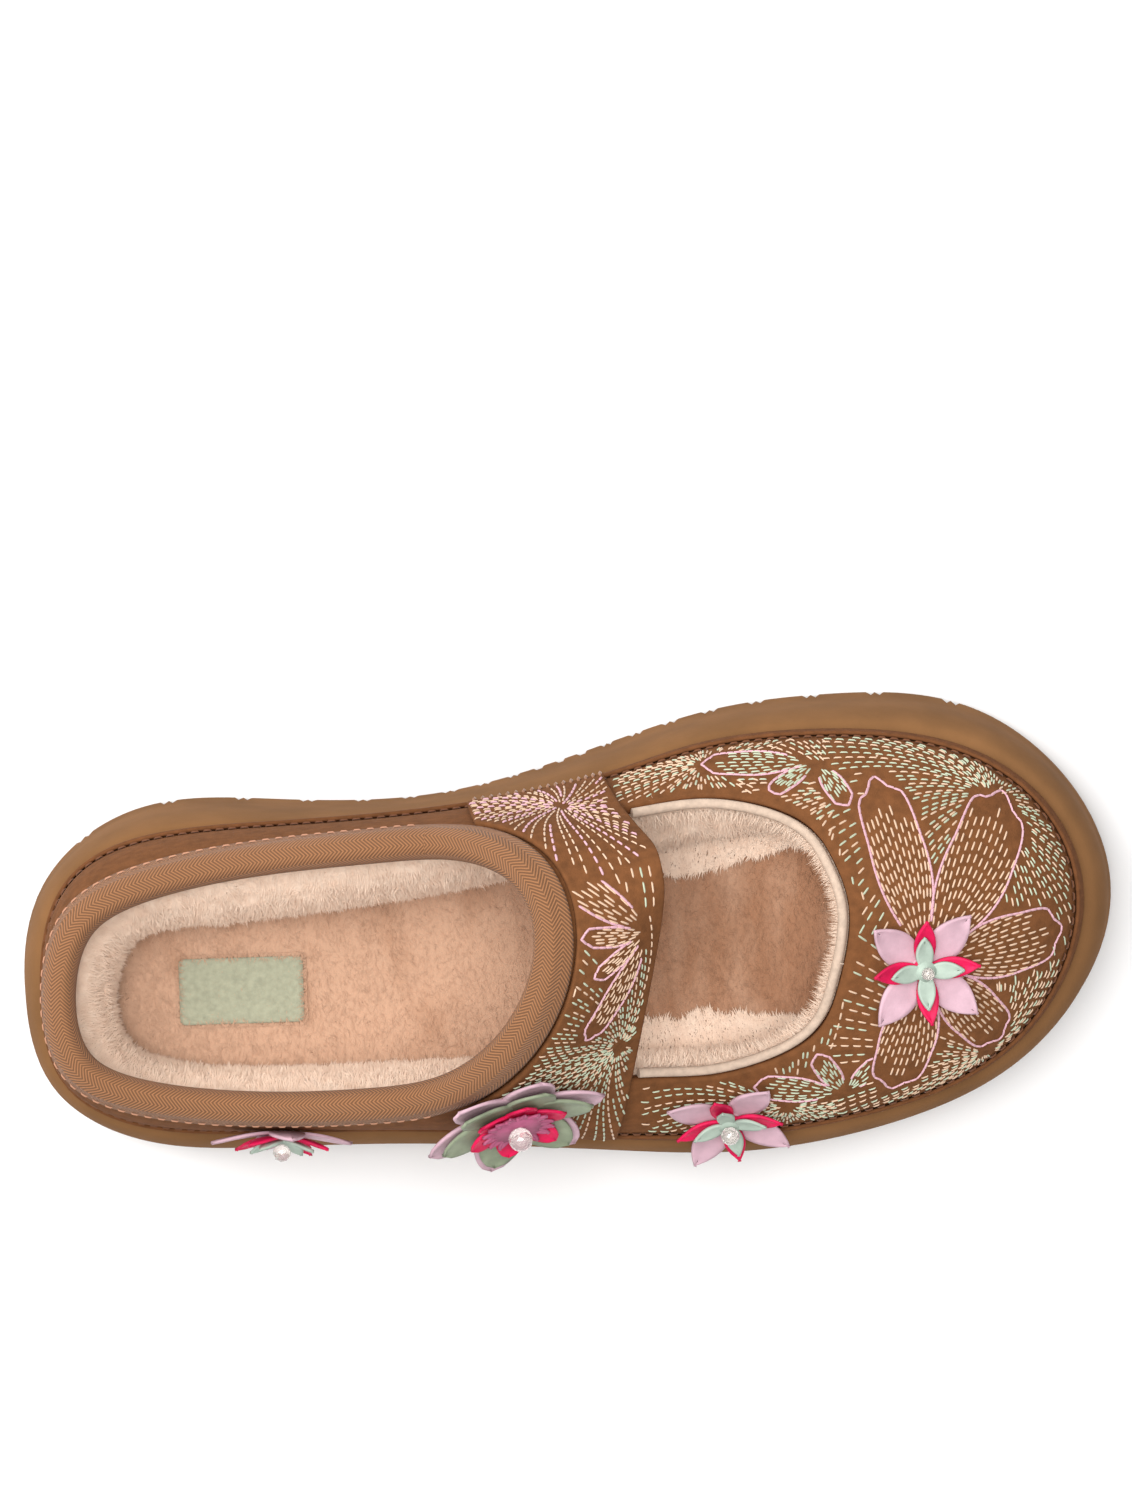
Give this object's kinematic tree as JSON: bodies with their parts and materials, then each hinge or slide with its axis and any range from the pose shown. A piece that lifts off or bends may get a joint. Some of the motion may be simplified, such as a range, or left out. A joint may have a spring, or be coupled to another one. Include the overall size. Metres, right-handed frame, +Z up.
{
  "type": "mary jane slipper",
  "caption": "Right-foot mary jane slipper: suede upper with a broad instep strap, twill collar binding and stitched-on petal flowers, on a thick foam platform sole with a grooved tread.",
  "frame": {"origin": "on the floor under the middle of the slipper's footprint", "axes": "+X from heel to toe, +Y to the medial (inner) side, +Z up from the floor"},
  "size_m": [0.272, 0.1126, 0.1045],
  "materials": {
    "foam": "matte",
    "fleece": "napped",
    "pile": "napped",
    "label": "woven",
    "suede": "napped",
    "foxing_suede": "napped",
    "twill": "woven",
    "piping": "matte",
    "petal_pale": "smooth",
    "petal_pink": "smooth",
    "petal_mint": "smooth",
    "petal_sage": "smooth",
    "petal_mauve": "smooth",
    "bead": "clear"
  },
  "bodies": {
    "root": {"outsole": "foam", "insole": "fleece", "insole_label": "label", "lining": "pile", "upper": "suede", "foxing": "foxing_suede", "strap": "suede", "collar_binding": "twill", "throat_piping": "piping", "toe_flower_petals_back": "petal_pale", "toe_flower_petals_middle": "petal_pink", "toe_flower_petals_front": "petal_mint", "toe_flower_bead": "bead", "vamp_flower_petals_back": "petal_pale", "vamp_flower_petals_middle": "petal_pink", "vamp_flower_petals_front": "petal_mint", "vamp_flower_bead": "bead", "strap_flower_petals_back": "petal_pale", "strap_flower_petals_inner": "petal_sage", "strap_flower_petals_middle": "petal_pink", "strap_flower_petals_fringe": "petal_mauve", "strap_flower_bead": "bead", "heel_flower_petals_back": "petal_pale", "heel_flower_petals_middle": "petal_pink", "heel_flower_petals_front": "petal_mint", "heel_flower_bead": "bead"}
  },
  "joints": []
}
